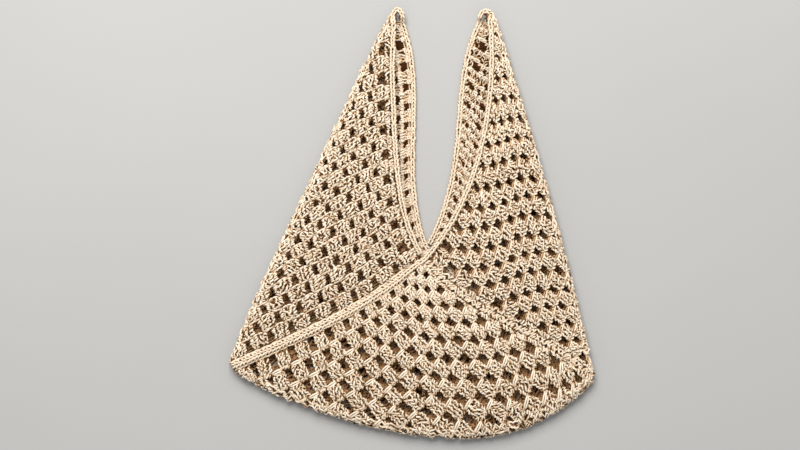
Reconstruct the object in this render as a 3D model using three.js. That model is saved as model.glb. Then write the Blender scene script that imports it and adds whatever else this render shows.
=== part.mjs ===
// A crocheted tote bag lying flat. Three openwork panels sit in a strip, each folded on its diagonal: one at the
// left side, one at the bottom, one at the right side. Their upper corners are the two tips that serve as handles.
// Millimetres, +Z up, the underside on Z = 0, the mouth towards +Y.
import * as THREE from 'three';

// Places on the flat bag, seen from above.
const PLACES = {
  tipLeft: [-16, 221],
  tipRight: [77, 222],
  cornerLeft: [-184, -144],
  cornerRight: [183, -156],
  mouthFront: [12, -35],
  mouthBack: [15, -24],
};

// Each edge runs from one place to another and swings off the straight line along one axis: by mid at its
// middle, more towards its far end by lean, and more towards both ends by ends.
const EDGES = {
  lipFrontLeft: { from: 'mouthFront', to: 'tipLeft', axis: 0, mid: -16.5, lean: 8, ends: -10 },
  lipFrontRight: { from: 'mouthFront', to: 'tipRight', axis: 0, mid: 30, lean: -7, ends: 5 },
  lipBackLeft: { from: 'mouthBack', to: 'tipLeft', axis: 0, mid: 1.5, lean: 20, ends: 1 },
  lipBackRight: { from: 'mouthBack', to: 'tipRight', axis: 0, mid: 2.5, lean: -22, ends: -5 },
  seamFront: { from: 'mouthFront', to: 'cornerLeft', axis: 1, mid: -10.5, lean: 6.5, ends: -2 },
  seamBack: { from: 'mouthBack', to: 'cornerRight', axis: 1, mid: -10.5, lean: 6.5, ends: -2 },
  joinFront: { from: 'mouthFront', to: 'cornerRight', axis: 1, mid: -4, lean: 18, ends: 0 },
  joinBack: { from: 'mouthBack', to: 'cornerLeft', axis: 1, mid: -4, lean: 14, ends: 0 },
  foldLeft: { from: 'cornerLeft', to: 'tipLeft', axis: 0, mid: -4, lean: 2, ends: -6 },
  foldRight: { from: 'tipRight', to: 'cornerRight', axis: 0, mid: 6.5, lean: 0, ends: 0 },
  foldBottom: { from: 'cornerLeft', to: 'cornerRight', axis: 1, mid: -61, lean: -22, ends: -20 },
};

// A panel is a square: its rows run from the mouth corner towards rowEnd, and stack up towards stackEnd. The fold
// joins those two. rowInset and stackInset are what its edgings take of the square's side. holes is how many
// openings stand along each side.
const PANELS = {
  panel_left: {
    rowEnd: 'cornerLeft', stackEnd: 'tipLeft', fold: 'foldLeft',
    front: { row: 'seamFront', stack: 'lipFrontLeft' },
    back: { row: 'joinBack', stack: 'lipBackLeft' },
    rowInset: 0.014, stackInset: 0.014, holes: 10,
  },
  panel_middle: {
    rowEnd: 'cornerLeft', stackEnd: 'cornerRight', fold: 'foldBottom',
    front: { row: 'seamFront', stack: 'joinFront' },
    back: { row: 'joinBack', stack: 'seamBack' },
    rowInset: 0.014, stackInset: 0.014, holes: 10,
  },
  panel_right: {
    rowEnd: 'tipRight', stackEnd: 'cornerRight', fold: 'foldRight',
    front: { row: 'lipFrontRight', stack: 'joinFront' },
    back: { row: 'lipBackRight', stack: 'seamBack' },
    rowInset: 0.014, stackInset: 0.014, holes: 10,
  },
};

const CLOTH_THICKNESS = 4;
const BACK_MIDDLE_Z = CLOTH_THICKNESS / 2;
const LAYER_SPACING = 10;
const FOLD_REACH = 0.07;
const CROWN = 3;
const HOLE_SHARE = 0.36;
const SMALLEST_HOLE = 4;

// Edgings and joining rows. Each run follows one panel's edge, at its outer side, or lies between two. It goes from
// the mouth outwards, or inwards where reversed. startsAt and endsAt are shares of the first and the last run.
const BANDS = {
  edging_front_long: {
    runs: [
      { beside: [['panel_right', 'front', 'row']], reversed: true },
      { beside: [['panel_left', 'front', 'row'], ['panel_middle', 'front', 'row']] },
    ],
    startsAt: 0.022, endsAt: 0.99, halfWidth: 2.5, halfHeight: 2.9, rise: 0.7,
  },
  edging_front_short: {
    runs: [{ beside: [['panel_left', 'front', 'stack']] }],
    startsAt: 0.014, endsAt: 0.978, halfWidth: 2.5, halfHeight: 2.6, rise: 0.4,
  },
  edging_back_long: {
    runs: [
      { beside: [['panel_left', 'back', 'stack']], reversed: true },
      { beside: [['panel_middle', 'back', 'stack'], ['panel_right', 'back', 'stack']] },
    ],
    startsAt: 0.022, endsAt: 0.99, halfWidth: 2.5, halfHeight: 2.3, rise: 0.3,
  },
  edging_back_short: {
    runs: [{ beside: [['panel_right', 'back', 'row']] }],
    startsAt: 0.014, endsAt: 0.978, halfWidth: 2.5, halfHeight: 2.2, rise: 0.2,
  },
  join_front: {
    runs: [{ beside: [['panel_middle', 'front', 'stack'], ['panel_right', 'front', 'stack']] }],
    startsAt: 0.01, endsAt: 0.99, halfWidth: 2.3, halfHeight: 1.9, rise: 0,
  },
  join_back: {
    runs: [{ beside: [['panel_left', 'back', 'row'], ['panel_middle', 'back', 'row']] }],
    startsAt: 0.01, endsAt: 0.99, halfWidth: 2.3, halfHeight: 1.9, rise: 0,
  },
};
const BAND_STEPS = 16;
const BAND_SIDES = 8;
const PIECE_GAP = 0.5;

const yarn = new THREE.MeshStandardMaterial({ color: 0xd3bc9b, roughness: 0.9, metalness: 0 });
const edgeYarn = new THREE.MeshStandardMaterial({ color: 0xdcc6a6, roughness: 0.88, metalness: 0 });

// How far an edge has swung off its straight line, between its from end and its to end.
function swing(edge, fromShare, toShare) {
  const along = toShare - fromShare;
  const off = 4 * fromShare * toShare * (edge.mid + edge.lean * along + edge.ends * along * along);
  return edge.axis === 0 ? [off, 0] : [0, off];
}

// The height of the cloth's middle, which bends round from the upper layer to the lower one at the fold.
function layerHeight(mouthShare, isFront) {
  const bend = 1 - Math.min(Math.max(mouthShare, 0) / FOLD_REACH, 1);
  const half = (LAYER_SPACING / 2) * Math.sqrt(1 - bend * bend);
  return BACK_MIDDLE_Z + LAYER_SPACING / 2 + (isFront ? half : -half);
}

// The point of a panel's middle surface at a place in its square, rows by stack, each from 0 to 1.
function clothPoint(panel, row, stack) {
  const isFront = row + stack <= 1;
  const mouthShare = Math.abs(1 - row - stack);
  const rowShare = isFront ? row : 1 - stack;
  const stackShare = isFront ? stack : 1 - row;
  const side = isFront ? panel.front : panel.back;
  const mouth = isFront ? PLACES.mouthFront : PLACES.mouthBack;
  const swings = [
    swing(EDGES[side.row], mouthShare, rowShare),
    swing(EDGES[side.stack], mouthShare, stackShare),
    swing(EDGES[panel.fold], rowShare, stackShare),
  ];
  const flat = [0, 1].map((axis) =>
    mouth[axis] * mouthShare
    + PLACES[panel.rowEnd][axis] * rowShare
    + PLACES[panel.stackEnd][axis] * stackShare
    + swings.reduce((sum, off) => sum + off[axis], 0));
  const crown = isFront ? CROWN * 27 * Math.max(mouthShare * rowShare * stackShare, 0) : 0;
  return new THREE.Vector3(flat[0], flat[1], layerHeight(mouthShare, isFront) + crown);
}

// The outward direction of a panel's cloth at a place in its square.
function clothNormal(panel, row, stack, facing) {
  const step = 0.002;
  const alongRow = clothPoint(panel, row + step, stack).sub(clothPoint(panel, row - step, stack));
  const alongStack = clothPoint(panel, row, stack + step).sub(clothPoint(panel, row, stack - step));
  return alongRow.cross(alongStack).normalize().multiplyScalar(facing);
}

// The place in the whole square of a share of what its edgings leave of it.
function rowAt(panel, share) {
  return panel.stackInset + (1 - panel.stackInset - panel.rowInset) * share;
}

function stackAt(panel, share) {
  return panel.rowInset + (1 - panel.stackInset - panel.rowInset) * share;
}

// The lines of a panel's grid, from 0 to 1: both sides of every hole, and the two ends.
function gridLines(holes) {
  const lines = [0];
  for (let hole = 0; hole < holes; hole += 1) {
    lines.push((hole + 0.5 - HOLE_SHARE / 2) / holes);
    lines.push((hole + 0.5 + HOLE_SHARE / 2) / holes);
  }
  lines.push(1);
  return lines;
}

// A closed solid from an outer and an inner copy of one patch of triangles, walled along its open edges.
function thickPatch(outer, inner, triangles) {
  const count = outer.length;
  const directed = new Set();
  for (const [a, b, c] of triangles) {
    directed.add(`${a},${b}`).add(`${b},${c}`).add(`${c},${a}`);
  }
  const index = [];
  for (const [a, b, c] of triangles) {
    index.push(a, b, c, c + count, b + count, a + count);
    for (const [from, to] of [[a, b], [b, c], [c, a]]) {
      if (!directed.has(`${to},${from}`)) {
        index.push(to, from, from + count, to, from + count, to + count);
      }
    }
  }
  return indexedGeometry([...outer, ...inner], index);
}

// A geometry of the points that the triangles use.
function indexedGeometry(points, index) {
  const places = new Map();
  const used = [];
  const packed = index.map((point) => {
    if (!places.has(point)) {
      places.set(point, used.length);
      used.push(points[point]);
    }
    return places.get(point);
  });
  const geometry = new THREE.BufferGeometry().setFromPoints(used);
  geometry.setIndex(packed);
  geometry.computeVertexNormals();
  return geometry;
}

// One folded panel: a grid with its holes left out, and the cells on the fold split along it.
function panelGeometry(panel) {
  const lines = gridLines(panel.holes);
  const last = lines.length - 1;
  const upFacing = Math.sign(clothNormal(panel, 0.3, 0.3, 1).z);
  const middle = [];
  const outer = [];
  const inner = [];
  for (let row = 0; row <= last; row += 1) {
    for (let stack = 0; stack <= last; stack += 1) {
      const point = clothPoint(panel, rowAt(panel, lines[row]), stackAt(panel, lines[stack]));
      const normal = clothNormal(panel, rowAt(panel, lines[row]), stackAt(panel, lines[stack]), upFacing);
      middle.push(point);
      outer.push(point.clone().addScaledVector(normal, CLOTH_THICKNESS / 2));
      inner.push(point.clone().addScaledVector(normal, -CLOTH_THICKNESS / 2));
    }
  }
  const triangles = [];
  for (let row = 0; row < last; row += 1) {
    for (let stack = 0; stack < last; stack += 1) {
      const near = row * (last + 1) + stack;
      const far = near + last + 1;
      const corners = [near, far, far + 1, near + 1];
      const onFold = row + stack === last - 1;
      const isHole = row % 2 === 1 && stack % 2 === 1;
      if (isHole && !onFold && holeWidth(corners.map((corner) => middle[corner])) > SMALLEST_HOLE) {
        continue;
      }
      const halves = [[near, far, near + 1], [far, far + 1, near + 1]];
      triangles.push(...halves.map((half) => (upFacing > 0 ? half : half.reverse())));
    }
  }
  return thickPatch(outer, inner, triangles);
}

// The smaller clear width of a hole with these four corners.
function holeWidth([first, second, third, fourth]) {
  const rowSide = second.clone().sub(first);
  const stackSide = fourth.clone().sub(first);
  const area = rowSide.clone().cross(stackSide).length();
  const otherArea = second.clone().sub(third).cross(fourth.clone().sub(third)).length();
  return Math.min(area, otherArea) / Math.max(rowSide.length(), stackSide.length());
}

// The place in its square of a point on a panel's edge, from 0 at the mouth to 1 at the edge's far corner. into is
// how far inside the edge it lies.
function edgePlace([name, side, edge], share, into) {
  const panel = PANELS[name];
  const along = side === 'front' ? share : 1 - share;
  const across = side === 'front' ? into : 1 - into;
  const alongRow = (edge === 'row') === (side === 'front');
  return alongRow
    ? [panel, rowAt(panel, along), stackAt(panel, across)]
    : [panel, rowAt(panel, across), stackAt(panel, along)];
}

// The point of a band that lies beside one panel's edge, clear of its thickness, or midway between two.
function besidePoint(beside, share, clear) {
  const points = beside.map((edge) => clothPoint(...edgePlace(edge, share, 0)));
  if (points.length === 2) {
    return points[0].lerp(points[1], 0.5);
  }
  const step = 0.002;
  const [edge] = beside;
  const way = clothPoint(...edgePlace(edge, share + step, 0)).sub(clothPoint(...edgePlace(edge, share - step, 0)));
  const outward = new THREE.Vector3(way.y, -way.x, 0).normalize();
  const inside = clothPoint(...edgePlace(edge, share, step)).sub(points[0]);
  const lean = clothNormal(...edgePlace(edge, share, 0), 1).setZ(0).length();
  const reach = clear + (lean * CLOTH_THICKNESS) / 2;
  return points[0].addScaledVector(outward, -Math.sign(inside.dot(outward)) * reach);
}

// The line that an edging or joining row follows.
function bandPath(band) {
  const path = [];
  band.runs.forEach((run, order) => {
    const start = order === 0 ? band.startsAt : 1 / BAND_STEPS;
    const end = order === band.runs.length - 1 ? band.endsAt : 1;
    for (let step = 0; step <= BAND_STEPS; step += 1) {
      const share = start + ((end - start) * step) / BAND_STEPS;
      const point = besidePoint(run.beside, run.reversed ? 1 - share : share, band.halfWidth + PIECE_GAP);
      point.z += band.rise;
      path.push(point);
    }
  });
  return path;
}

// A bar of oval section along a path, its width level and its ends closed.
function bandGeometry(band) {
  const path = bandPath(band);
  const points = [];
  path.forEach((centre, order) => {
    const ahead = path[Math.min(order + 1, path.length - 1)].clone();
    const way = ahead.sub(path[Math.max(order - 1, 0)]).setZ(0).normalize();
    const across = new THREE.Vector3(-way.y, way.x, 0);
    for (let side = 0; side < BAND_SIDES; side += 1) {
      const turn = ((side + 0.5) * 2 * Math.PI) / BAND_SIDES;
      const point = centre.clone().addScaledVector(across, band.halfWidth * Math.cos(turn));
      point.z += band.halfHeight * Math.sin(turn);
      points.push(point);
    }
  });
  const index = [];
  const ring = (order, side) => order * BAND_SIDES + (side % BAND_SIDES);
  const lastRing = path.length - 1;
  for (let order = 0; order < lastRing; order += 1) {
    for (let side = 0; side < BAND_SIDES; side += 1) {
      index.push(ring(order, side), ring(order, side + 1), ring(order + 1, side + 1));
      index.push(ring(order, side), ring(order + 1, side + 1), ring(order + 1, side));
    }
  }
  for (let side = 1; side < BAND_SIDES - 1; side += 1) {
    index.push(ring(0, 0), ring(0, side + 1), ring(0, side));
    index.push(ring(lastRing, 0), ring(lastRing, side), ring(lastRing, side + 1));
  }
  return indexedGeometry(points, index);
}

function namedMesh(name, geometry, material) {
  const mesh = new THREE.Mesh(geometry, material);
  mesh.name = name;
  return mesh;
}

const bag = new THREE.Group();
for (const [name, panel] of Object.entries(PANELS)) {
  bag.add(namedMesh(name, panelGeometry(panel), yarn));
}
for (const [name, band] of Object.entries(BANDS)) {
  bag.add(namedMesh(name, bandGeometry(band), edgeYarn));
}

// The origin stands under the middle of the bag's outline.
const middle = new THREE.Box3().setFromObject(bag).getCenter(new THREE.Vector3());
bag.position.set(-middle.x, -middle.y, 0);

export default bag;
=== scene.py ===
# A crocheted tote bag of granny clusters, lying flat: every stitch in yarn, with the floor, the light and
# the camera.
import math

import bpy
import numpy as np
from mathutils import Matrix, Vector


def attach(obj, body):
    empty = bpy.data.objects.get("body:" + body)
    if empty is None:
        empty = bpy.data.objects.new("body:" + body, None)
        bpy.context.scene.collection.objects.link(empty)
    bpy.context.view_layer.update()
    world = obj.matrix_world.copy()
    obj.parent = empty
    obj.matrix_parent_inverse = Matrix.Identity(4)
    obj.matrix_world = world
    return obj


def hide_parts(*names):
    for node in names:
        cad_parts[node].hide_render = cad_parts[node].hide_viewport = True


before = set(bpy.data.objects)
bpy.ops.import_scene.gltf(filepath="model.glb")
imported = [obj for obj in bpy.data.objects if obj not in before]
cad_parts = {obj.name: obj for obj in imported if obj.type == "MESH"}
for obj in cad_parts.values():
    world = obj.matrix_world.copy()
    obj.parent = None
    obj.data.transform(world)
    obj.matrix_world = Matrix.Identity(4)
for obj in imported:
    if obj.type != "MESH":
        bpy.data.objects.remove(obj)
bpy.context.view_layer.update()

# Shapes are worked out in millimetres, as they lay before the part was centred on its box, and become
# metres in the meshes.
MM = 0.001
CENTRING = np.array([0.176, -0.165, 0])

# Places on the flat bag, seen from above.
PLACES = {
    "tip_left": (-16, 221, 0),
    "tip_right": (77, 222, 0),
    "corner_left": (-184, -144, 0),
    "corner_right": (183, -156, 0),
    "mouth_front": (12, -35, 0),
    "mouth_back": (15, -24, 0),
}

# How an edge swings off the straight line between its ends: the axis, by how much at its middle, how much
# more towards its far end, and how much more towards both ends.
EDGES = {
    "lip_front_left": (0, -16.5, 8, -10),
    "lip_front_right": (0, 30, -7, 5),
    "lip_back_left": (0, 1.5, 20, 1),
    "lip_back_right": (0, 2.5, -22, -5),
    "seam_front": (1, -10.5, 6.5, -2),
    "seam_back": (1, -10.5, 6.5, -2),
    "join_front": (1, -4, 18, 0),
    "join_back": (1, -4, 14, 0),
    "fold_left": (0, -4, 2, -6),
    "fold_right": (0, 6.5, 0, 0),
    "fold_bottom": (1, -61, -22, -20),
}

# A panel is a square. Its rows run from the mouth corner towards row_end and stack up towards stack_end;
# the fold joins those two. front and back name the edges along the rows and along the stack. slides tells
# how far the stitches have slid along the row edge, the stack edge and the fold, as a share of it: at its
# middle, and how much more towards its far end. pull is how far the middle of the cloth is pulled aside, in
# x and y. flat is the size in metres before folding. fold_dense is how near the fold the clusters close up,
# and to what spacing. facing turns the direction across rows and stack to the outer side.
PANELS = {
    "panel_left": {
        "row_end": "corner_left", "stack_end": "tip_left", "fold": "fold_left",
        "front": ("seam_front", "lip_front_left"), "back": ("join_back", "lip_back_left"),
        "slides": ((0, 0), (-0.06, -0.03), (-0.02, 0)), "pull": (1.5, 9.5),
        "flat": (0.21, 0.25), "fold_dense": (0.05, 0.2), "facing": -1, "seed": 11,
    },
    "panel_middle": {
        "row_end": "corner_left", "stack_end": "corner_right", "fold": "fold_bottom",
        "front": ("seam_front", "join_front"), "back": ("join_back", "seam_back"),
        "slides": ((-0.09, 0.04), (-0.08, 0.1), (0.07, 0.1)), "pull": (-4, -7),
        "flat": (0.275, 0.29), "fold_dense": (0.05, 0.215), "facing": 1, "seed": 12,
    },
    "panel_right": {
        "row_end": "tip_right", "stack_end": "corner_right", "fold": "fold_right",
        "front": ("lip_front_right", "join_front"), "back": ("lip_back_right", "seam_back"),
        "slides": ((-0.03, 0.02), (0.045, 0.035), (0.04, 0)), "pull": (-8.5, 3),
        "flat": (0.255, 0.205), "fold_dense": (0.05, 0.205), "facing": -1, "seed": 13,
    },
}

# The stitches of each panel's front and back: how many clusters in a row, how many rows, how far apart a
# cluster's posts are, as a share of the way to the next cluster, how often a post's strands go round each
# other, with how many points, and the yarn's radius. edge_posts tells how far from both ends of an even
# row, and of an odd one, single posts stand, and edge_gap how far from them an odd row's outermost gaps
# lie, in clusters. wave is how far a row's line swings, in rows. top is how far the stitches' tops stand
# out and how much of a row they slant, leaf_lift how far the loops over the gaps stand out, and chain_turn
# how far both are turned away from the viewer, in degrees.
STITCHES = {
    "panel_left": {
        "front": {
            "clusters": 9, "rows": 20, "spacing": 0.195,
            "turns": 2.9, "points": 16, "radius": 0.94,
            "edge_posts": ((0.09,), (0.13,)), "edge_gap": 0.5,
            "wave": 0.14, "top": (0.7, 0.0), "leaf_lift": 0.0, "chain_turn": 50,
        },
        "back": {
            "clusters": 13, "rows": 24, "spacing": 0.165,
            "turns": 1.5, "points": 7, "radius": 1.15,
            "edge_posts": ((0.09,), (0.09, 0.275)), "edge_gap": 0.5,
            "wave": 0.1, "top": (0.3, 0.1), "leaf_lift": 0.4, "chain_turn": 20,
        },
    },
    "panel_middle": {
        "front": {
            "clusters": 12, "rows": 17, "spacing": 0.173,
            "turns": 3.6, "points": 18, "radius": 0.96,
            "edge_posts": ((0.09,), (0.13,)), "edge_gap": 0.5,
            "wave": 0.09, "top": (0.3, 0.16), "leaf_lift": 2.2, "chain_turn": 20,
        },
        "back": {
            "clusters": 12, "rows": 17, "spacing": 0.245,
            "turns": 1.25, "points": 7, "radius": 1.55,
            "edge_posts": ((0.09,), (0.09, 0.335)), "edge_gap": 0.5,
            "wave": 0.05, "top": (0.3, 0.1), "leaf_lift": 0.4, "chain_turn": 20,
        },
    },
    "panel_right": {
        "front": {
            "clusters": 12, "rows": 15, "spacing": 0.178,
            "turns": 2.9, "points": 16, "radius": 0.92,
            "edge_posts": ((0.09,), (0.13,)), "edge_gap": 0.5,
            "wave": 0.11, "top": (0.5, 0.16), "leaf_lift": 0.4, "chain_turn": 30,
        },
        "back": {
            "clusters": 9, "rows": 26, "spacing": 0.16,
            "turns": 1.7, "points": 7, "radius": 0.95,
            "edge_posts": ((0.09,), (0.09, 0.5)), "edge_gap": 0.3,
            "wave": 0.05, "top": (0.3, 0.1), "leaf_lift": 0.4, "chain_turn": 20,
        },
    },
}

# The cloth: how much of a square the edgings take on each side, the thickness, the height of the back's
# middle, how far apart the two layers lie, how near the fold they come together, and how far the front
# crowns.
INSET = 0.014
CLOTH_THICKNESS = 4
BACK_MIDDLE_Z = CLOTH_THICKNESS / 2
LAYER_SPACING = 10
FOLD_REACH = 0.035
CROWN = 3

# Edgings and joining rows: the panel edges that each run lies beside or between, from the mouth outwards
# or, where inwards, back towards it. starts and ends are shares of the first and the last run. rise lifts
# the band. faces is 1 where a flat join's stitches stand up and -1 where they stand down.
BANDS = {
    "edging_front_long": {
        "runs": [
            ([("panel_right", "front", "row")], "inwards"),
            ([("panel_left", "front", "row"), ("panel_middle", "front", "row")], "outwards"),
        ],
        "starts": 0.05, "ends": 0.99, "half_width": 2.5, "rise": 0.7, "flat": False, "seed": 21,
    },
    "edging_front_short": {
        "runs": [([("panel_left", "front", "stack")], "outwards")],
        "starts": 0.014, "ends": 0.95, "half_width": 2.5, "rise": 0.4, "flat": False, "seed": 22,
    },
    "edging_back_long": {
        "runs": [
            ([("panel_left", "back", "stack")], "inwards"),
            ([("panel_middle", "back", "stack"), ("panel_right", "back", "stack")], "outwards"),
        ],
        "starts": 0.05, "ends": 0.99, "half_width": 2.5, "rise": 0.3, "flat": False, "seed": 23,
    },
    "edging_back_short": {
        "runs": [([("panel_right", "back", "row")], "outwards")],
        "starts": 0.014, "ends": 0.95, "half_width": 2.5, "rise": 0.2, "flat": False, "seed": 24,
    },
    "join_front": {
        "runs": [([("panel_middle", "front", "stack"), ("panel_right", "front", "stack")], "outwards")],
        "starts": 0.01, "ends": 0.99, "half_width": 2.3, "rise": 0, "flat": True, "faces": 1, "seed": 25,
    },
    "join_back": {
        "runs": [([("panel_left", "back", "row"), ("panel_middle", "back", "row")], "outwards")],
        "starts": 0.01, "ends": 0.99, "half_width": 2.3, "rise": 0, "flat": True, "faces": -1, "seed": 26,
    },
}
BAND_GAP = 0.5
SECOND_RUN_STARTS = 0.0625
RUN_POINTS = 80
PATH_POINTS = 400

# What makes the product of two shares, or of three, 1 in the middle.
PAIR_PEAK = 4
TRIO_PEAK = 27


def unit(vectors):
    """The vectors at length 1."""
    return vectors / np.maximum(np.linalg.norm(vectors, axis=-1, keepdims=True), 1e-9)


def eased(share):
    """A share from 0 to 1 that starts and ends gently."""
    return share * share * (3 - 2 * share)


def swing(edge, from_share, to_share):
    """How far an edge has swung off its straight line, between its two ends."""
    axis, mid, lean, ends = EDGES[edge]
    along = to_share - from_share
    off = np.zeros(along.shape + (3,))
    off[..., axis] = PAIR_PEAK * from_share * to_share * (mid + lean * along + ends * along**2)
    return off


def layer_height(mouth_share, front):
    """The height of the cloth's middle, which bends round from the upper layer to the lower one at the
    fold."""
    bend = 1 - np.minimum(mouth_share / FOLD_REACH, 1)
    half = LAYER_SPACING / 2 * np.sqrt(1 - bend**2)
    return BACK_MIDDLE_Z + LAYER_SPACING / 2 + np.where(front, half, -half)


def slid(panel, mouth, row, stack):
    """The shares of a panel's corners at a stitch, once the stitches have slid along its edges."""
    row_slide, stack_slide, fold_slide = panel["slides"]
    to_row = PAIR_PEAK * mouth * row * (row_slide[0] + row_slide[1] * (row - mouth))
    to_stack = PAIR_PEAK * mouth * stack * (stack_slide[0] + stack_slide[1] * (stack - mouth))
    over = PAIR_PEAK * row * stack * (fold_slide[0] + fold_slide[1] * (stack - row))
    return mouth - to_row - to_stack, row + to_row - over, stack + to_stack + over


def cloth_point(panel, row, stack):
    """The middle of a panel's cloth at a place in its square, rows by stack, each from 0 to 1."""
    front = row + stack <= 1
    mouth_share = np.abs(1 - row - stack)
    row_share = np.where(front, row, 1 - stack)
    stack_share = np.where(front, stack, 1 - row)
    shares = slid(panel, mouth_share, row_share, stack_share)
    to_mouth, to_row, to_stack = shares
    sides = []
    for side in ("front", "back"):
        row_edge, stack_edge = panel[side]
        corners = (PLACES["mouth_" + side], PLACES[panel["row_end"]], PLACES[panel["stack_end"]])
        flat = sum(share[..., None] * np.array(corner) for share, corner in zip(shares, corners))
        flat = flat + swing(row_edge, to_mouth, to_row) + swing(stack_edge, to_mouth, to_stack)
        sides.append(flat + swing(panel["fold"], to_row, to_stack))
    point = np.where(front[..., None], sides[0], sides[1])
    swell = TRIO_PEAK * np.maximum(mouth_share * row_share * stack_share, 0)
    point[..., :2] += swell[..., None] * np.array(panel["pull"])
    point[..., 2] = layer_height(mouth_share, front) + np.where(front, CROWN * swell, 0)
    return point


NORMAL_STEP = 0.004


def cloth_normal(panel, row, stack):
    """The outward direction of a panel's cloth: up on the front, down on the back."""
    along_row = cloth_point(panel, row + NORMAL_STEP, stack) - cloth_point(panel, row - NORMAL_STEP, stack)
    along_stack = cloth_point(panel, row, stack + NORMAL_STEP) - cloth_point(panel, row, stack - NORMAL_STEP)
    return panel["facing"] * unit(np.cross(along_row, along_stack))


def inside_edging(share):
    """The place in the whole square of a share of what the edgings leave of it."""
    return INSET + (1 - 2 * INSET) * share


# The drift of handmade cloth: how many slow and quick swells run along the rows and along the stack, and
# how far the stitches drift along, up and out. Phases keep these three apart. PILLOW is how far a cluster
# swells, and FOLD_CALM how near the fold it doesn't.
SLOW_SWELLS = (1.3, 2.1)
QUICK_SWELLS = (3.7, -2.9)
QUICK_PHASE = 2.3
SLOW_SHARE = 0.6
STACK_PHASE = 1.7
LUMP_PHASE = 3.1
DRIFT = 0.009
LUMPS = 0.9
PILLOW = 1.9
BACK_PILLOW = 0.3
FOLD_CALM = 0.07


def waver(row, stack, phase):
    """A slow, uneven drift over a panel, from about -1 to 1, that fades out at the panel's edges."""
    fade = np.sin(math.pi * np.clip(row, 0, 1)) * np.sin(math.pi * np.clip(stack, 0, 1))
    slow = np.sin(2 * math.pi * (SLOW_SWELLS[0] * row + SLOW_SWELLS[1] * stack) + phase)
    quick = np.sin(2 * math.pi * (QUICK_SWELLS[0] * row + QUICK_SWELLS[1] * stack) + QUICK_PHASE * phase)
    return np.sqrt(np.maximum(fade, 0)) * (SLOW_SHARE * slow + (1 - SLOW_SHARE) * quick)


def stitch_place(panel, stitches, row, stack):
    """Where a place in a panel's grid of stitches lies on the handmade cloth, and which way the cloth faces
    there. A row's line rises over each cluster below it and dips over each gap, and each cluster swells
    like a pillow."""
    phase = panel["seed"]
    rows = stitches["rows"]
    level = stack * rows
    beat = np.cos(2 * math.pi * stitches["clusters"] * row)
    clear = np.clip(np.minimum(level, rows - level), 0, 1)
    wave = stitches["wave"] * clear * beat * np.cos(math.pi * level) / rows
    drifted_row = inside_edging(row + DRIFT * waver(row, stack, phase))
    drifted_stack = inside_edging(stack + wave + DRIFT * waver(row, stack, phase + STACK_PHASE))
    point = cloth_point(panel, drifted_row, drifted_stack)
    normal = cloth_normal(panel, drifted_row, drifted_stack)
    from_fold = np.abs(1 - row - stack)
    front = (row + stack < 1) * np.minimum(from_fold / FOLD_REACH, 1)
    point[..., 2] += LUMPS * front * waver(row, stack, phase + LUMP_PHASE)
    calm = np.minimum(from_fold / FOLD_CALM, 1)
    fullness = BACK_PILLOW + (1 - BACK_PILLOW) * front
    pillow = -PILLOW * beat * np.sin(math.pi * level) * calm * fullness
    return point + pillow[..., None] * normal, normal


# Painted shade: yarn is painted from its deepest tone at the cloth's middle, where shade falls between the
# strands, to its palest PALEST_AT further out, where light falls on it. The inner values tell how pale it
# is painted on the inner side; below 0 it is painted golden there instead, as shade between the two layers.
# The part of the back that shows in the open mouth, where light reaches it, is painted as pale as
# MOUTH_PALENESS, over a border as wide as MOUTH_BLUR.
PALEST_AT = 1.3
EDGING_INNER = 0.22
PANEL_INNER = -1
MOUTH_PALENESS = 0.62
MOUTH_BLUR = 5


def in_open_mouth(points):
    """How surely a point lies between the two front lips, as seen from above, from 0 to 1."""
    x, y = points[..., 0], points[..., 1]
    share = np.linspace(0, 1, RUN_POINTS)
    left = cloth_point(PANELS["panel_left"], np.zeros(RUN_POINTS), share)
    right = cloth_point(PANELS["panel_right"], share, np.zeros(RUN_POINTS))
    past_left = x - np.interp(y, left[:, 1], left[:, 0])
    short_of_right = np.interp(y, right[:, 1], right[:, 0]) - x
    return np.clip(np.minimum(past_left, short_of_right) / MOUTH_BLUR + 1, 0, 1)


# The yarn: its radius in the panels and in the edgings, the sides of a strand, how much the strands differ
# in thickness, how far along its twist one may start, and how far it stays off the floor.
YARN_RADIUS = 1.0
EDGE_YARN_RADIUS = 1.05
STRAND_SIDES = 5
STRAND_UNEVEN = 0.05
TWIST_STARTS = 50
FLOOR_CLEARANCE = 0.02


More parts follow.
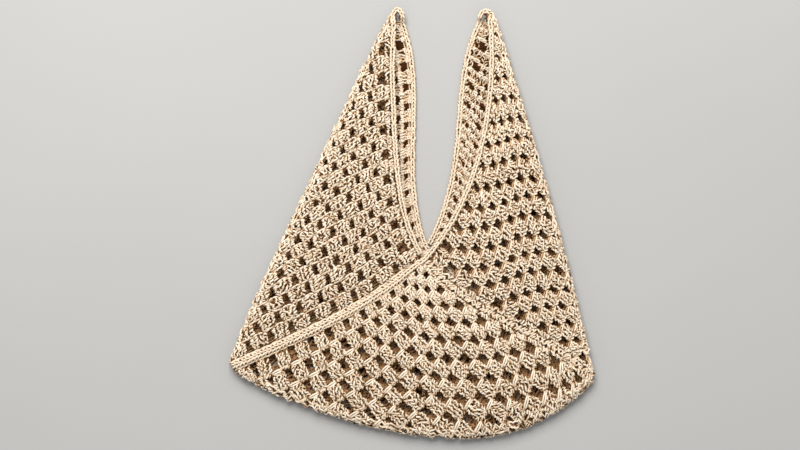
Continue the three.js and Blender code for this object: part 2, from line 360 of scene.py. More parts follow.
class Skein:
    """Strands of yarn that become one mesh."""

    def __init__(self, seed, inner):
        self.random = np.random.default_rng(seed)
        self.inner = inner
        self.lays = []

    def lay(self, lines, facing, radius, rise, light=1):
        """Adds strands along lines, which is strands by points by xyz. facing is a way across them, as
        long. radius and rise, how far the strands stand out of the cloth's middle, may differ from point to
        point; rise only sets the painted shade. light scales the painted lightness: with light 0 they all
        take the darkest painted shade."""
        way = unit(np.gradient(lines, axis=1))
        across = unit(np.cross(facing, way))
        up = np.cross(way, across)
        turn = np.arange(STRAND_SIDES) * 2 * math.pi / STRAND_SIDES
        ring = np.cos(turn)[:, None] * across[:, :, None] + np.sin(turn)[:, None] * up[:, :, None]
        uneven = 1 + STRAND_UNEVEN * self.random.standard_normal((len(lines), 1))
        thickness = np.broadcast_to(radius, lines.shape[:2]) * uneven
        points = lines[:, :, None] + thickness[..., None, None] * ring
        points[..., 2] = np.maximum(points[..., 2], FLOOR_CLEARANCE)
        steps = np.linalg.norm(np.diff(lines, axis=1), axis=2)
        along = np.concatenate([np.zeros((len(lines), 1)), np.cumsum(steps, axis=1)], axis=1)
        along += self.random.uniform(0, TWIST_STARTS, (len(lines), 1))
        tone = self.random.uniform(0, 1, len(lines))
        # Painted shade: the further a point stands out of the cloth's middle, the paler it is painted; on
        # the inner side it is painted golden, or paler where the open mouth shows it.
        shade_height = np.broadcast_to(rise, lines.shape[:2])[:, :, None] + thickness[..., None] * np.sin(turn)
        inner = self.inner + (MOUTH_PALENESS - self.inner) * in_open_mouth(points)
        shade_height = (np.maximum(shade_height, 0) - inner * np.minimum(shade_height, 0)) / PALEST_AT
        shade_height = light * np.clip(shade_height, -1, 1)
        self.lays.append((points, along, tone, shade_height))

    def piece(self, name, material):
        """The mesh object of every strand laid so far."""
        points, tones, heights, faces, uvs, caps, cap_uvs = [], [], [], [], [], [], []
        first = 0
        sides = STRAND_SIDES
        side = np.arange(sides)
        for strands, along, tone, shade_height in self.lays:
            count, length = along.shape
            at = first + np.arange(count * length * sides).reshape(count, length, sides)
            first += at.size
            after = np.roll(at, -1, axis=2)
            around = np.stack([at[:, :-1], after[:, :-1], after[:, 1:], at[:, 1:]], axis=-1)
            faces.append(around.reshape(-1, 4))
            near = np.broadcast_to(side / sides, (count, length - 1, sides))
            low = np.broadcast_to(along[:, :-1, None], near.shape)
            high = np.broadcast_to(along[:, 1:, None], near.shape)
            far = near + 1 / sides
            uv = np.stack([near, low, far, low, far, high, near, high], axis=-1)
            uvs.append(uv.reshape(-1, 2))
            ends = np.concatenate([at[:, 0, ::-1], at[:, -1]])
            caps.append(ends)
            cap_along = np.concatenate([along[:, 0], along[:, -1]])
            cap_uv = np.stack([np.full(ends.shape, 0.5), np.repeat(cap_along[:, None], sides, 1)], axis=-1)
            cap_uvs.append(cap_uv.reshape(-1, 2))
            points.append(strands.reshape(-1, 3))
            tones.append(np.repeat(tone, length * sides))
            heights.append(shade_height.ravel())
        faces = np.concatenate(faces)
        caps = np.concatenate(caps)
        corners = np.concatenate([faces.ravel(), caps.ravel()]).astype(np.int32)
        sizes = np.concatenate([np.full(len(faces), 4), np.full(len(caps), sides)])
        starts = np.concatenate([[0], np.cumsum(sizes)[:-1]]).astype(np.int32)
        mesh = bpy.data.meshes.new(name)
        vertices = (np.concatenate(points) + CENTRING) * MM
        mesh.vertices.add(len(vertices))
        mesh.vertices.foreach_set("co", vertices.astype(np.float32).ravel())
        mesh.loops.add(len(corners))
        mesh.loops.foreach_set("vertex_index", corners)
        mesh.polygons.add(len(starts))
        mesh.polygons.foreach_set("loop_start", starts)
        mesh.polygons.foreach_set("use_smooth", np.ones(len(starts), bool))
        strand_map = mesh.uv_layers.new(name="strand")
        strand_map.uv.foreach_set("vector", np.concatenate(uvs + cap_uvs).astype(np.float32).ravel())
        for label, values in (("tone", tones), ("shade_height", heights)):
            value_map = mesh.attributes.new(label, "FLOAT", "POINT")
            value_map.data.foreach_set("value", np.concatenate(values).astype(np.float32))
        mesh.update(calc_edges=True)
        mesh.validate()
        mesh.materials.append(material)
        made = bpy.data.objects.new(name, mesh)
        bpy.context.scene.collection.objects.link(made)
        return made


# Posts: how many a cluster has, where in the rows they start and end, how wide and deep their two strands
# go round each other, with the profiles of depth and width from foot to top, and how uneven all that is.
POSTS = 4
POST_STARTS = -0.14
POST_ENDS = 1.02
POST_DEPTHS = ((0, 0.15, 0.35, 0.8, 1), (-2.4, -1.5, -0.1, 0, -0.5))
POST_WIDTHS = ((0, 0.15, 0.9, 1), (0.5, 1, 1, 0.75))
NARROWEST_POST = 0.5
WIDEST_POST = 2.3
POST_HALF_DEPTH = 0.95
POST_CLEAR = 0.55
POST_BULGE = 0.2
POST_SLACK = 0.38
POST_UNEVEN = 0.9
TURNS_UNEVEN = 0.2
PLACE_UNEVEN = 0.01
LATEST_PHASE = 0.5
RIGHT_HANDED = 0.65
FOOT_SHARE = 0.93
EDGE_ROOM = 0.23
HIDDEN_CLOSING = 0.97


def cluster_posts(panel, stitches, random):
    """Every post of a panel: its row, its cluster's place along the row, where its foot and its top stand,
    how far round its strands start, and how much room it has. Clusters close up near the fold and where the
    back is hidden."""
    posts = []
    rows, clusters = stitches["rows"], stitches["clusters"]
    dense_reach, dense_spacing = panel["fold_dense"]
    inner_posts = np.arange(POSTS) - (POSTS - 1) / 2
    for row in range(rows):
        middles = np.arange(1, clusters) if row % 2 else np.arange(clusters) + 0.5
        for middle in middles:
            along, height = middle / clusters, (row + 0.5) / rows
            to_fold = 1 - height - along
            near_fold = math.exp(-((to_fold / dense_reach) ** 2))
            spacing = stitches["spacing"] + (dense_spacing - stitches["spacing"]) * near_fold
            if to_fold < 0:
                place, _ = stitch_place(panel, stitches, along, np.array(height))
                closed = HIDDEN_CLOSING / POSTS
                spacing += (closed - spacing) * (1 - in_open_mouth(place))
            for k in inner_posts:
                posts.append((row, middle, FOOT_SHARE * spacing * k, spacing * k, 0, spacing))
        places = stitches["edge_posts"][row % 2]
        ends = [(0, place) for place in places] + [(clusters, -place) for place in places]
        posts += [(row, end, place, place, 0, EDGE_ROOM) for end, place in ends]
    table = np.array(posts)
    table[:, 2:4] += PLACE_UNEVEN * random.standard_normal((len(table), 2))
    table[:, 4] = random.uniform(0, LATEST_PHASE, len(table))
    return table


def on_side(stitches, side, level, middle):
    """Which stitches lie on one side of the fold."""
    front = middle / stitches["clusters"] + level / stitches["rows"] < 1 + FOLD_REACH
    return front if side == "front" else ~front


# The see-through spot under each tip: its middle and its half width and height; and how far up the stitches
# go.
TIP_SPOTS = (((-14, 210), (1.3, 1.8)), ((71, 207.5), (0.8, 0.8)))
STITCHES_END = 209


def clear_of_tips(points):
    """Which strands stay clear of the open spot at each tip."""
    clear = np.all(points[..., 1] < STITCHES_END, axis=1)
    for middle, half in TIP_SPOTS:
        off = (points[..., :2] - np.array(middle)) / np.array(half)
        clear &= np.all((off**2).sum(axis=-1) > 1, axis=1)
    return clear


def lay_clusters(panel, stitches, side, skein):
    """The double crochet posts of one side: two strands that go round each other, so that short slanting
    bars show, with dark dots between them, both shadowed and darkened by the yarn's painted shade."""
    posts = cluster_posts(panel, stitches, skein.random)
    posts = posts[on_side(stitches, side, posts[:, 0] + 0.5, posts[:, 1] + posts[:, 2])]
    row, middle, foot, top, phase, room = (posts[:, column, None] for column in range(6))
    up = np.linspace(0, 1, stitches["points"])
    along = (middle + foot + (top - foot) * eased(up)) / stitches["clusters"]
    height = (row + POST_STARTS + (POST_ENDS - POST_STARTS) * up) / stitches["rows"]
    path, normal = stitch_place(panel, stitches, along, height)
    beside, _ = stitch_place(panel, stitches, along + room / stitches["clusters"], height)
    half_width = np.linalg.norm(beside - path, axis=2) / 2 - POST_CLEAR * stitches["radius"]
    width = np.clip(half_width, NARROWEST_POST, WIDEST_POST) * np.interp(up, *POST_WIDTHS)
    depth = np.interp(up, *POST_DEPTHS)
    path = path + normal * depth[:, None]
    way = unit(np.gradient(path, axis=1))
    across = unit(np.cross(normal, way))
    kept = clear_of_tips(path)
    turns = stitches["turns"] * (1 + TURNS_UNEVEN * skein.random.standard_normal(row.shape))
    angle = 2 * math.pi * (turns * up + phase)
    angle += POST_UNEVEN * skein.random.standard_normal(angle.shape)
    handed = np.where(skein.random.uniform(size=row.shape) < RIGHT_HANDED, 1, -1)
    for leg in (1, -1):
        slack = POST_SLACK * skein.random.standard_normal((2,) + angle.shape)
        sideways = leg * handed * width * np.cos(angle) + slack[0]
        outwards = leg * POST_HALF_DEPTH * np.sin(angle) + slack[1]
        strand = path + sideways[..., None] * across + outwards[..., None] * normal
        radius = stitches["radius"] * (1 + POST_BULGE * leg * np.sin(angle))
        skein.lay(strand[kept], normal[kept], radius[kept], (depth + outwards)[kept])


# Where strands run along the fold, as a share of the panel: above 0 on the front, below it on the back.
# Then their yarn, where on the fold they end, how far apart their points are, how far they stray and
# stand out, and how much further out they count for their painted shade.
FOLD_STRANDS = (0.03, 0.014, 0.002, -0.012)
FOLD_YARN_RADIUS = 1.05
FOLD_ENDS = 0.016
FOLD_STEP = 2.6
FOLD_STRAY = 0.0035
FOLD_LIFT = 0.7
FOLD_RISE = 0.4


def lay_fold(panel, skein):
    """The strands that show along the fold, where the stitches bend round."""
    share = np.linspace(FOLD_ENDS, 1 - FOLD_ENDS, PATH_POINTS)
    length = np.linalg.norm(np.diff(cloth_point(panel, 1 - share, share), axis=0), axis=1).sum()
    share = np.linspace(FOLD_ENDS, 1 - FOLD_ENDS, round(length / FOLD_STEP))
    for off in FOLD_STRANDS:
        shift = off / 2 + FOLD_STRAY * skein.random.standard_normal(len(share))
        row, stack = inside_edging(1 - share) - shift, inside_edging(share) - shift
        normal = cloth_normal(panel, row, stack)
        lift = FOLD_LIFT * skein.random.standard_normal(len(share))
        strand = cloth_point(panel, row, stack) + lift[:, None] * normal
        skein.lay(strand[None], normal[None], FOLD_YARN_RADIUS, FOLD_RISE + lift)


# The loop on top of each post, its width and height from end to end, and how far a cluster's outer ones lie
# below its middle ones. FIRST_LOOPS is how many a cluster has along the first row's foot.
LOOP_POINTS = 4
LOOP_LENGTH = 1.15
LOOP_AT = (0, 0.3, 0.7, 1)
LOOP_WIDTHS = (0.6, 1.1, 1.2, 0.8)
LOOP_HEIGHTS = (-1.2, 0, 0.3, -0.9)
TOP_DOME = 0.9
TOP_DROP = 0.1
FIRST_LOOPS = 4

# The leaf-shaped loop over each gap, and the strands that close the gaps of the back, which take the
# darkest painted shade so that the gaps look shadowed.
LEAF_POINTS = 6
LEAF_LENGTH = 0.62
LEAF_NARROWEST = 0.3
LEAF_SPREAD = 1.3
LEAF_ENDS_DEPTH = 1
LEAF_STRAIGHT = 0.9
LEAF_RADIUS = 1.0
GAP_POINTS = 3
GAP_LENGTH = 0.54
GAP_SPREAD = 1.5
GAP_DEPTH = 0.9
GAP_RADIUS = 1.6
GAP_LIGHT = 0.0
GAP_CLEAR = 0.03
GAPS_END = 201


def lay_loops(
    panel, stitches, skein, level, middle, length, slant, straight, sideways, outwards, radius, light=1
):
    """Two-legged loops that lie along the rows: level and middle tell where, length is their share of a
    cluster, slant how much of a row they rise, and straight how little they follow the row's waves."""
    at = np.linspace(-0.5, 0.5, sideways.shape[-1])
    along = (middle[:, None] + length * at) / stitches["clusters"]
    height = (level[:, None] + slant * at) / stitches["rows"]
    path, normal = stitch_place(panel, stitches, along, height)
    chord = path[:, :1] + (path[:, -1:] - path[:, :1]) * (at + 0.5)[:, None]
    path = path + straight * (chord - path)
    way = unit(np.gradient(path, axis=1))
    across = unit(np.cross(normal, way))
    kept = clear_of_tips(path)
    tilt = math.radians(stitches["chain_turn"])
    for leg in (1, -1):
        aside = leg * sideways * math.cos(tilt)
        out = np.broadcast_to(outwards - leg * sideways * math.sin(tilt), path.shape[:2])
        strand = path + aside[:, None] * across + out[..., None] * normal
        skein.lay(strand[kept], normal[kept], radius, out[kept], light)


def lay_chains(panel, stitches, side, skein):
    """The tops of each row: a loop on each post, and one open leaf-shaped loop over each gap. On the back,
    strands on the outer side all but close each gap; they are painted dark brown as shade."""
    rows, clusters = stitches["rows"], stitches["clusters"]
    posts = cluster_posts(panel, stitches, skein.random)
    first = (np.arange(FIRST_LOOPS * clusters) + 0.5) / FIRST_LOOPS
    off_middle = np.concatenate([np.abs(posts[:, 3]) / posts[:, 5], np.ones(len(first))])
    level = np.concatenate([posts[:, 0] + 1, np.zeros(len(first))]) - TOP_DROP * off_middle
    middle = np.concatenate([posts[:, 1] + posts[:, 3], first])
    here = on_side(stitches, side, level, middle)
    t = np.linspace(0, 1, LOOP_POINTS)
    lift, slant = stitches["top"]
    outwards = lift - TOP_DOME * off_middle[:, None] + np.interp(t, LOOP_AT, LOOP_HEIGHTS)
    lay_loops(
        panel, stitches, skein, level[here], middle[here],
        length=stitches["spacing"] * LOOP_LENGTH, slant=slant, straight=0,
        sideways=np.interp(t, LOOP_AT, LOOP_WIDTHS), outwards=outwards[here], radius=YARN_RADIUS,
    )
    between = (np.arange(1, clusters), np.arange(clusters) + 0.5)
    between[1][[0, -1]] = stitches["edge_gap"], clusters - stitches["edge_gap"]
    gaps = np.array([(row + 1, gap) for row in range(rows) for gap in between[row % 2]])
    gaps = gaps[on_side(stitches, side, gaps[:, 0], gaps[:, 1])]
    arch = np.sin(math.pi * np.linspace(0, 1, LEAF_POINTS))
    lay_loops(
        panel, stitches, skein, *gaps.T,
        length=LEAF_LENGTH, slant=0, straight=LEAF_STRAIGHT,
        sideways=LEAF_NARROWEST + (LEAF_SPREAD - LEAF_NARROWEST) * arch,
        outwards=(stitches["leaf_lift"] + LEAF_ENDS_DEPTH) * arch - LEAF_ENDS_DEPTH, radius=LEAF_RADIUS,
    )
    if side == "back":
        gaps[:, 0] -= 0.5
        height, along = gaps[:, 0] / rows, gaps[:, 1] / clusters
        places, _ = stitch_place(panel, stitches, along, height)
        gaps = gaps[(height + along > 1 + GAP_CLEAR) & (places[:, 1] < GAPS_END)]
        lay_loops(
            panel, stitches, skein, *gaps.T,
            length=GAP_LENGTH, slant=0, straight=LEAF_STRAIGHT,
            sideways=np.full(GAP_POINTS, GAP_SPREAD), outwards=np.full(GAP_POINTS, GAP_DEPTH),
            radius=GAP_RADIUS, light=GAP_LIGHT,
        )


EDGE_PROBE = 0.002


def edge_place(edge, share, into):
    """The place in its square of a point on a panel's edge, from 0 at the mouth to 1 at its far corner."""
    name, side, kind = edge
    along = inside_edging(share if side == "front" else 1 - share)
    across = inside_edging(np.full_like(share, into if side == "front" else 1 - into))
    along_row = (kind == "row") == (side == "front")
    return (PANELS[name], along, across) if along_row else (PANELS[name], across, along)


def beside_points(edges, share, clear):
    """The line of a band beside one panel's edge, clear of its thickness, or midway between two."""
    points = [cloth_point(*edge_place(edge, share, 0)) for edge in edges]
    if len(points) == 2:
        return (points[0] + points[1]) / 2
    way = np.gradient(points[0], axis=0)
    outward = unit(np.stack([way[:, 1], -way[:, 0], np.zeros(len(way))], axis=1))
    inside = cloth_point(*edge_place(edges[0], share, EDGE_PROBE)) - points[0]
    lean = np.linalg.norm(cloth_normal(*edge_place(edges[0], share, 0))[:, :2], axis=1)
    reach = clear + lean * CLOTH_THICKNESS / 2
    side = -np.sign((inside * outward).sum(axis=1))
    return points[0] + (side * reach)[:, None] * outward


def spaced(path, count):
    """The path again, with count points at even distances."""
    along = np.concatenate([[0], np.cumsum(np.linalg.norm(np.diff(path, axis=0), axis=1))])
    at = np.linspace(0, along[-1], count)
    return np.stack([np.interp(at, along, path[:, axis]) for axis in range(3)], axis=1)


def band_path(band):
    """The line that an edging or joining row follows."""
    path = []
    last = len(band["runs"]) - 1
    for order, (edges, way) in enumerate(band["runs"]):
        start = band["starts"] if order == 0 else SECOND_RUN_STARTS
        end = band["ends"] if order == last else 1
        share = np.linspace(start, end, RUN_POINTS)
        share = 1 - share if way == "inwards" else share
        path.append(beside_points(edges, share, band["half_width"] + BAND_GAP))
    path = np.concatenate(path)
    path[:, 2] += band["rise"]
    return path


def path_frame(path):
    """The directions across and up at each point of a path."""
    way = unit(np.gradient(path, axis=0))
    up = np.zeros_like(path)
    up[:, 2] = 1
    across = unit(np.cross(up, way))
    return across, np.cross(way, across)


def along_path(values, share):
    """Values that belong to evenly spaced points, at shares of the way from the first to the last."""
    at = np.clip(share, 0, 1) * (len(values) - 1)
    return np.stack([np.interp(at, np.arange(len(values)), values[:, axis]) for axis in range(3)], axis=-1)


def lay_plain(skein, line, up, points, radius, rise, light=1):
    """One plain strand along a line, with evenly spaced points."""
    strand = spaced(line, points)
    facing = along_path(up, np.linspace(0, 1, points))
    skein.lay(strand[None], facing[None], radius, rise, light)


# The chain on an edging: the length of a loop, how far it reaches into the next one, and its width and
# height from end to end.
EDGE_LOOP = 3.9
EDGE_LOOP_POINTS = 5
EDGE_LOOP_REACH = 1.4
EDGE_LOOP_AT = (0, 0.3, 0.7, 1)
EDGE_LOOP_WIDTHS = (0.05, 0.7, 1.1, 0.8)
EDGE_LOOP_HEIGHTS = (-1.2, 0.3, 0.6, -1.2)
EDGE_SLACK = 0.25


def lay_chain(skein, path, spread, lift):
    """One chain of stitches along a path: V-shaped loops, each coming out of the one before."""
    length = np.linalg.norm(np.diff(path, axis=0), axis=1).sum()
    loops = max(2, round(length / EDGE_LOOP))
    path = spaced(path, PATH_POINTS)
    across, up = path_frame(path)
    t = np.linspace(0, 1, EDGE_LOOP_POINTS)
    share = (np.arange(loops)[:, None] + EDGE_LOOP_REACH * t) / loops
    sideways = spread * np.interp(t, EDGE_LOOP_AT, EDGE_LOOP_WIDTHS)
    outwards = lift + np.interp(t, EDGE_LOOP_AT, EDGE_LOOP_HEIGHTS)
    facing = along_path(up, share)
    for leg in (1, -1):
        slack = EDGE_SLACK * skein.random.standard_normal((2, loops, 1))
        aside = (leg * sideways + slack[0])[..., None] * along_path(across, share)
        out = outwards + slack[1]
        strand = along_path(path, share) + aside + out[..., None] * facing
        skein.lay(strand, facing, EDGE_YARN_RADIUS, out)
    return path, across, up, loops


# An edging's chain and the two strands below it, the loops down its sides, which widen where the seam
# starts, and the strands that flank the seam.
EDGE_SPREAD = 1.55
EDGE_LIFT = 1.0
EDGE_LOW_SIDE = 1.3
EDGE_LOW_DEPTH = 1.1
SIDE_POINTS = 5
SIDE_ANGLES = (70, -55)
SIDE_REACH = 2.05
SIDE_HEIGHT = 1.6
SIDE_LENGTH = 0.6
SEAM_WIDENING = 0.65
SEAM_EASE = 0.03
FLANK_STEP = 3
FLANK_SIDE = 4.3
FLANK_DEPTH = 0.6
FLANK_SLACK = 0.35
# How far out the flank strands count for their painted shade.
FLANK_RISE = 0.7


def lay_edging(band, skein):
    """A raised edging: a chain on top, two strands below, and loops down both sides. Where it goes on as
    the seam between two panels, the loops reach further out and a strand lies along each side."""
    line = band_path(band)
    steps = np.linalg.norm(np.diff(line, axis=0), axis=1)
    seam_from = steps[:RUN_POINTS].sum() / steps.sum()
    path, across, up, loops = lay_chain(skein, line, EDGE_SPREAD, EDGE_LIFT)
    for leg in (1, -1):
        low = path + leg * EDGE_LOW_SIDE * across - EDGE_LOW_DEPTH * up
        lay_plain(skein, low, up, loops * 2 + 1, EDGE_YARN_RADIUS, -EDGE_LOW_DEPTH / 2)
    over = np.linspace(0, 1, SIDE_POINTS)
    angle = np.radians(SIDE_ANGLES[0] + (SIDE_ANGLES[1] - SIDE_ANGLES[0]) * over)
    share = (np.arange(loops)[:, None] + SIDE_LENGTH * over) / loops
    reach = SIDE_REACH * (1 + SEAM_WIDENING * np.clip((share - seam_from) / SEAM_EASE, 0, 1))
    for leg in (1, -1):
        outward = leg * along_path(across, share)
        high = SIDE_HEIGHT * np.sin(angle)
        strand = along_path(path, share) + (reach * np.cos(angle))[..., None] * outward
        skein.lay(strand + high[:, None] * along_path(up, share), outward, YARN_RADIUS, high)
    if len(band["runs"]) == 2:
        share = np.linspace(seam_from, 1, round((1 - seam_from) * steps.sum() / FLANK_STEP))
        facing = along_path(up, share)
        for leg in (1, -1):
            aside = leg * FLANK_SIDE * along_path(across, share)
            flank = along_path(path, share) + aside - FLANK_DEPTH * facing
            flank += FLANK_SLACK * skein.random.standard_normal(flank.shape)
            skein.lay(flank[None], facing[None], EDGE_YARN_RADIUS, FLANK_RISE)


# A flat join: the length of a stitch, the half width of a row of them, the plain strands below as multiples
# of that, and how far the stitches lean, reach across, arch and differ.
JOIN_STITCH = 2.6
JOIN_HALF = 1.3
JOIN_STRANDS = (-3, -1, 1, 3)
JOIN_DEPTH = 0.9
JOIN_POINTS = 5
JOIN_LEAN = 0.55
JOIN_REACH = 1.7
JOIN_ARCH = 1.4
JOIN_UNEVEN = 0.3


def lay_flat_join(band, skein):
    """A flat joining row: short stitches that slant over plain strands, now one way and now the other."""
    path = spaced(band_path(band), PATH_POINTS)
    across, up = path_frame(path)
    up = band["faces"] * up
    length = np.linalg.norm(np.diff(path, axis=0), axis=1).sum()
    stitches = round(length / JOIN_STITCH)
    for side in JOIN_STRANDS:
        low = path + side * JOIN_HALF * across - JOIN_DEPTH * up
        lay_plain(skein, low, up, stitches // 2 + 1, YARN_RADIUS, -JOIN_DEPTH)
    over = np.linspace(-1, 1, JOIN_POINTS)
    for leg in (1, -1):
        start = np.arange(stitches) + skein.random.uniform(0, 1, stitches)
        lean = np.where(skein.random.uniform(size=stitches) < RIGHT_HANDED, 1, -1) * JOIN_LEAN
        share = (start[:, None] + lean[:, None] * over) / stitches
        aside = leg * JOIN_HALF + JOIN_REACH * over
        uneven = JOIN_UNEVEN * skein.random.standard_normal((stitches, 1))
        out = JOIN_ARCH * (1 - over**2) - JOIN_DEPTH / 2 + uneven
        facing = along_path(up, share)
        strand = along_path(path, share) + aside[:, None] * along_path(across, share)
        skein.lay(strand + out[..., None] * facing, facing, EDGE_YARN_RADIUS, out)


# The edging goes round each tip from one lip to the other: the piece it belongs to, the other one, the open
# spot that it goes round, and its top.
TIP_LOOPS = {
    "edging_front_short": (
        "edging_back_long", TIP_SPOTS[0][0],
        ((-19.5, 209), (-16.5, 214.5), (-13, 215), (-9.3, 209)),
    ),
    "edging_back_short": (
        "edging_front_long", TIP_SPOTS[1][0],
        ((67.6, 207.5), (70, 212.3), (75.5, 213.6), (80.3, 210)),
    ),
}
TIP_HEIGHT = 8.5
TIP_SPREAD = 1.5
TIP_LIFT = 0.9
TIP_LOW_DEPTH = 0.8
TIP_SPOT_DROP = 2

# Strands inside the loop round a tip: how far from the spot towards the loop, and how light they are
# painted, dark as shade; and how far out of the cloth they count for that painted shade.
TIP_INNER = ((0.72, 0.4), (0.45, 0.1))
TIP_INNER_RISE = 1


def lay_tip_loop(name, skein):
    """The chain round the tip of the bag, between the ends of two lips' edgings."""
    other, spot, top = TIP_LOOPS[name]
    over = ((x, y, TIP_HEIGHT) for x, y in top)
    corners = [band_path(BANDS[name])[-1], *over, band_path(BANDS[other])[0]]
    path = spaced(np.array(corners), PATH_POINTS)
    path, _, up, loops = lay_chain(skein, path, TIP_SPREAD, TIP_LIFT)
    low = path - TIP_LOW_DEPTH * up
    lay_plain(skein, low, up, loops * 3 + 1, EDGE_YARN_RADIUS, -TIP_LOW_DEPTH / 2)
    spot = np.array((*spot, TIP_HEIGHT - TIP_SPOT_DROP))
    # Painted shade: the strands inside the loop are painted dark, the inner one darkest.
    for share, light in TIP_INNER:
        inner = spot + share * (path - spot)
        lay_plain(skein, inner, up, loops * 2 + 1, EDGE_YARN_RADIUS, TIP_INNER_RISE, light)


# Under each tip, strands cross the back from lip to lip: between which two edgings, how far down and up,
# and from where on they are painted pale; below that they take a dark painted shade.
TIP_WRAPS = {
    "panel_left": ("edging_front_short", "edging_back_long", 90, 205, 200),
    "panel_right": ("edging_back_short", "edging_front_long", 30, 203, 190),
}
WRAP_STEP = 2.1
WRAP_POINTS = 5
WRAP_HEIGHT = 1.4
WRAP_SLACK = 0.25
WRAP_LIGHT = (0.05, 0.85)


def lay_tip_wraps(name, skein):
    """The strands that close the back under a tip, painted dark as shade but for the highest ones, which are
    pale.
    """
    one, other, low, high, pale_from = TIP_WRAPS[name]
    y = np.arange(low, high, WRAP_STEP)
    ends = []
    for band in (one, other):
        path = band_path(BANDS[band])
        path = path[np.argsort(path[:, 1])]
        ends.append(np.interp(y, path[:, 1], path[:, 0]))
    strand = np.zeros((len(y), WRAP_POINTS, 3))
    strand[..., 0] = np.linspace(ends[0], ends[1], WRAP_POINTS, axis=1)
    strand[..., 1] = y[:, None]
    strand[..., 2] = WRAP_HEIGHT
    strand += WRAP_SLACK * skein.random.standard_normal(strand.shape)
    facing = np.zeros_like(strand)
    facing[..., 2] = 1
    light = np.where(y > pale_from, WRAP_LIGHT[1], WRAP_LIGHT[0])[:, None, None]
    skein.lay(strand, facing, YARN_RADIUS, 0, light)


# The sockets of a Mix node that mixes colours.
MIX_SHARE = 0
MIX_FIRST = 6
MIX_SECOND = 7
MIX_COLOUR = 2


class Wire:
    """A shader socket. An operator on it adds a Math node."""

    def __init__(self, tree, socket=None):
        self.tree = tree
        self.socket = socket

    def node(self, kind, settings, inputs, output=0):
        """A new node with its settings, then the values or links of its sockets; gives one of its
        outputs."""
        made = self.tree.nodes.new(kind)
        for name, value in settings.items():
            setattr(made, name, value)
        for name, value in inputs.items():
            if isinstance(value, Wire):
                self.tree.links.new(value.socket, made.inputs[name])
            else:
                made.inputs[name].default_value = value
        return Wire(self.tree, made.outputs[output])

    def math(self, operation, first, second=0.0):
        return self.node("ShaderNodeMath", {"operation": operation}, {0: first, 1: second})

    def mix(self, share, first, second):
        """A colour that goes from the first to the second as share goes from 0 to 1."""
        inputs = {MIX_SHARE: share, MIX_FIRST: first, MIX_SECOND: second}
        return self.node("ShaderNodeMix", {"data_type": "RGBA"}, inputs, MIX_COLOUR)

    def __add__(self, other):
        return self.math("ADD", self, other)

    def __radd__(self, other):
        return self.math("ADD", other, self)

    def __sub__(self, other):
        return self.math("SUBTRACT", self, other)

    def __rsub__(self, other):
        return self.math("SUBTRACT", other, self)

    def __mul__(self, other):
        return self.math("MULTIPLY", self, other)

    def __rmul__(self, other):
        return self.math("MULTIPLY", other, self)


def linear(red, green, blue):
    """A colour given as it shows on a screen, from 0 to 255, as a shader's colour."""
    shares = [channel / 255 for channel in (red, green, blue)]
    return tuple(((s + 0.055) / 1.055) ** 2.4 if s > 0.04 else s / 12.92 for s in shares) + (1.0,)


def new_material(name):
    """A material, with its tree and its shader."""
    material = bpy.data.materials.new(name)
    material.use_nodes = True
    tree = material.node_tree
    return material, tree, tree.nodes["Principled BSDF"]


# The yarn's plies and how often they turn in a millimetre, the sizes of its fibres and of its drift in
# tone, the shares of strand, drift and fibre in its tone, and those of ply grooves and depth in the painted
# shade that takes it towards brown.
PLIES = 3
PLY_TURNS = 0.42
FIBRE_SCALE = 1600.0
DRIFT_SCALE = 28.0
YARN_DETAIL = 2.0
STRAND_TONE = 0.4
DRIFT_TONE = 0.4
FIBRE_TONE = 0.2
PLY_GROOVE_SHADE = 0.08
DEPTH_SHADE = 0.92

# The browns of the painted shade, and how steeply and from where on the yarn takes them. The inner gold is
# the painted shade of the panels' inner side.
SHADE_GOLDEN_BROWN = linear(176, 140, 98)
GOLDEN_STEEP = 1.4
SHADE_DARK_BROWN = linear(56, 28, 6)
DARK_STEEP = 3.6
DARK_FROM = 2.3
INNER_SHADE_GOLD = linear(172, 131, 90)
INNER_STEEP = 0.9

SMOOTHEST = 0.78
FIBRE_ROUGHNESS = 0.16
FIBRE_HEIGHT = 0.5
BUMP_STRENGTH = 0.5
BUMP_DEPTH = 0.0003
YARN_SPECULAR = 0.1


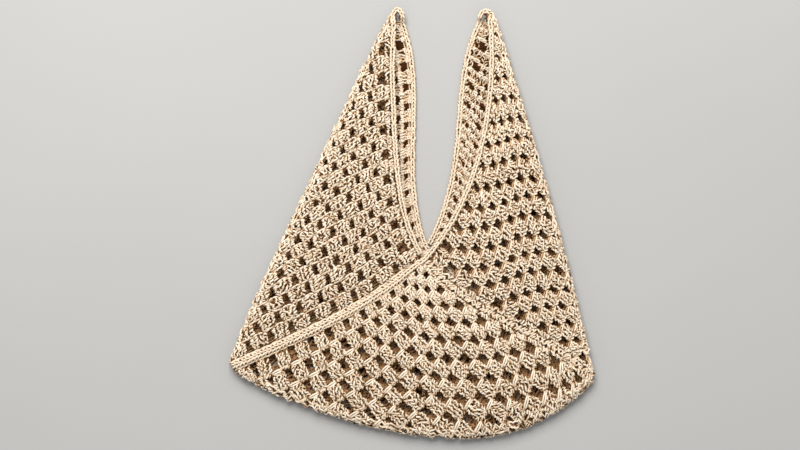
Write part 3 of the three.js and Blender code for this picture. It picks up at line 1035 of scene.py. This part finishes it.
def yarn_material(name, pale, deep):
    """Plied cotton yarn: uneven in tone from strand to strand, with the twist of its plies and fine fibres.
    With painted shade, in its ply grooves and deep in the cloth its colour goes over golden brown to dark
    brown, and on the panels' inner side it is painted golden as shade."""
    material, tree, shader = new_material(name)
    start = Wire(tree)
    strand = start.node("ShaderNodeUVMap", {"uv_map": "strand"}, {})
    around = start.node("ShaderNodeSeparateXYZ", {}, {0: strand}, "X")
    along = start.node("ShaderNodeSeparateXYZ", {}, {0: strand}, "Y")
    ply = start.math("SINE", (around * PLIES + along * PLY_TURNS) * (2 * math.pi)) * 0.5 + 0.5
    place = start.node("ShaderNodeTexCoord", {}, {}, "Object")
    fibre_size = {"Vector": place, "Scale": FIBRE_SCALE, "Detail": YARN_DETAIL}
    fibres = start.node("ShaderNodeTexNoise", {}, fibre_size)
    drift_size = {"Vector": place, "Scale": DRIFT_SCALE, "Detail": YARN_DETAIL}
    drift = start.node("ShaderNodeTexNoise", {}, drift_size)
    tone = start.node("ShaderNodeAttribute", {"attribute_name": "tone"}, {}, "Fac")
    shade_height = start.node("ShaderNodeAttribute", {"attribute_name": "shade_height"}, {}, "Fac")
    colour = start.mix(tone * STRAND_TONE + drift * DRIFT_TONE + fibres * FIBRE_TONE, deep, pale)
    # Painted shade: darker in the ply grooves and towards the cloth's middle, first golden brown, then dark
    # brown; the inner side golden.
    painted_shade = (1 - ply) * PLY_GROOVE_SHADE + (1 - shade_height) * DEPTH_SHADE
    colour = start.mix(painted_shade * GOLDEN_STEEP, colour, SHADE_GOLDEN_BROWN)
    colour = start.mix(painted_shade * DARK_STEEP - DARK_FROM, colour, SHADE_DARK_BROWN)
    colour = start.mix(shade_height * -INNER_STEEP, colour, INNER_SHADE_GOLD)
    rough = fibres * FIBRE_ROUGHNESS + SMOOTHEST
    relief = {"Strength": BUMP_STRENGTH, "Distance": BUMP_DEPTH, "Height": ply + fibres * FIBRE_HEIGHT}
    bumps = start.node("ShaderNodeBump", {}, relief)
    for socket, value in (("Base Color", colour), ("Roughness", rough), ("Normal", bumps)):
        tree.links.new(value.socket, shader.inputs[socket])
    shader.inputs["Specular IOR Level"].default_value = YARN_SPECULAR
    return material


FLOOR_DARKER = linear(153, 152, 150)
FLOOR_PALER = linear(159, 159, 157)
FLOOR_ROUGHNESS = 0.7
CLOUD_SCALE = 3.0
CLOUD_DETAIL = 3.0


def floor_material():
    """A smooth, pale floor with the faintest clouding."""
    material, tree, shader = new_material("pale floor")
    start = Wire(tree)
    place = start.node("ShaderNodeTexCoord", {}, {}, "Object")
    cloud_size = {"Vector": place, "Scale": CLOUD_SCALE, "Detail": CLOUD_DETAIL}
    cloud = start.node("ShaderNodeTexNoise", {}, cloud_size)
    colour = start.mix(cloud, FLOOR_DARKER, FLOOR_PALER)
    tree.links.new(colour.socket, shader.inputs["Base Color"])
    shader.inputs["Roughness"].default_value = FLOOR_ROUGHNESS
    return material


panel_yarn = yarn_material("panel yarn", pale=linear(229, 218, 201), deep=linear(210, 195, 173))
edge_yarn = yarn_material("edging yarn", pale=linear(222, 208, 188), deep=linear(203, 184, 159))

for name, band in BANDS.items():
    skein = Skein(band["seed"], EDGING_INNER)
    if band["flat"]:
        lay_flat_join(band, skein)
    else:
        lay_edging(band, skein)
    if name in TIP_LOOPS:
        lay_tip_loop(name, skein)
    piece = skein.piece(name + "_yarn", edge_yarn)
    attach(piece, "root")
    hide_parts(name)

# What the seeds of a panel's back and of its chains add to its own.
BACK_SEED = 50
CHAIN_SEED = 100

for name, panel in PANELS.items():
    front, back = STITCHES[name]["front"], STITCHES[name]["back"]
    front_skein = Skein(panel["seed"], PANEL_INNER)
    lay_clusters(panel, front, "front", front_skein)
    front_clusters = front_skein.piece(name + "_front_clusters", panel_yarn)
    back_skein = Skein(panel["seed"] + BACK_SEED, PANEL_INNER)
    lay_clusters(panel, back, "back", back_skein)
    back_clusters = back_skein.piece(name + "_back_clusters", panel_yarn)
    chain_skein = Skein(panel["seed"] + CHAIN_SEED, PANEL_INNER)
    lay_chains(panel, front, "front", chain_skein)
    lay_chains(panel, back, "back", chain_skein)
    lay_fold(panel, chain_skein)
    if name in TIP_WRAPS:
        lay_tip_wraps(name, chain_skein)
    chains = chain_skein.piece(name + "_chains", panel_yarn)
    for piece in (front_clusters, back_clusters, chains):
        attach(piece, "root")
        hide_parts(name)

# The floor, in metres.
FLOOR_HALF = 4
floor_mesh = bpy.data.meshes.new("floor")
floor_corners = [(-FLOOR_HALF, -FLOOR_HALF, 0), (FLOOR_HALF, -FLOOR_HALF, 0)]
floor_corners += [(FLOOR_HALF, FLOOR_HALF, 0), (-FLOOR_HALF, FLOOR_HALF, 0)]
floor_mesh.from_pydata(floor_corners, [], [(0, 1, 2, 3)])
floor_mesh.materials.append(floor_material())
floor = bpy.data.objects.new("floor", floor_mesh)
bpy.context.scene.collection.objects.link(floor)

# The light: one large square lamp that faces the bag from beyond its tips, in a softly lit room.
LAMP_PLACE = Vector((-0.25, 1.25, 1.7))
LAMP_SIZE = 1.4
LAMP_POWER = 75
LAMP_COLOUR = (1.0, 0.985, 0.965)
ROOM_COLOUR = (0.99, 0.995, 1.0, 1.0)
ROOM_STRENGTH = 0.62
lamp_data = bpy.data.lights.new("soft lamp", "AREA")
lamp_data.size = LAMP_SIZE
lamp_data.energy = LAMP_POWER
lamp_data.color = LAMP_COLOUR
lamp = bpy.data.objects.new("soft lamp", lamp_data)
lamp.location = LAMP_PLACE
lamp.rotation_euler = (-LAMP_PLACE).to_track_quat("-Z", "Y").to_euler()
bpy.context.scene.collection.objects.link(lamp)
world = bpy.data.worlds.new("room")
world.use_nodes = True
room = world.node_tree.nodes["Background"]
room.inputs["Color"].default_value = ROOM_COLOUR
room.inputs["Strength"].default_value = ROOM_STRENGTH
bpy.context.scene.world = world
bpy.context.scene.view_settings.view_transform = "Standard"

# The camera: straight above. The photo's frame is 800 mm wide at the bag, and the bag lies a little right
# of its middle.
FRAME_WIDTH = 0.8
FRAME_MIDDLE = (-0.0118, -0.0012)
FOCUS_HEIGHT = 0.012
LENS = 85
camera_data = bpy.data.cameras.new("camera")
camera_data.lens = LENS
camera = bpy.data.objects.new("camera", camera_data)
reach = FRAME_WIDTH * LENS / camera_data.sensor_width
camera.location = (*FRAME_MIDDLE, FOCUS_HEIGHT + reach)
bpy.context.scene.collection.objects.link(camera)
bpy.context.scene.camera = camera
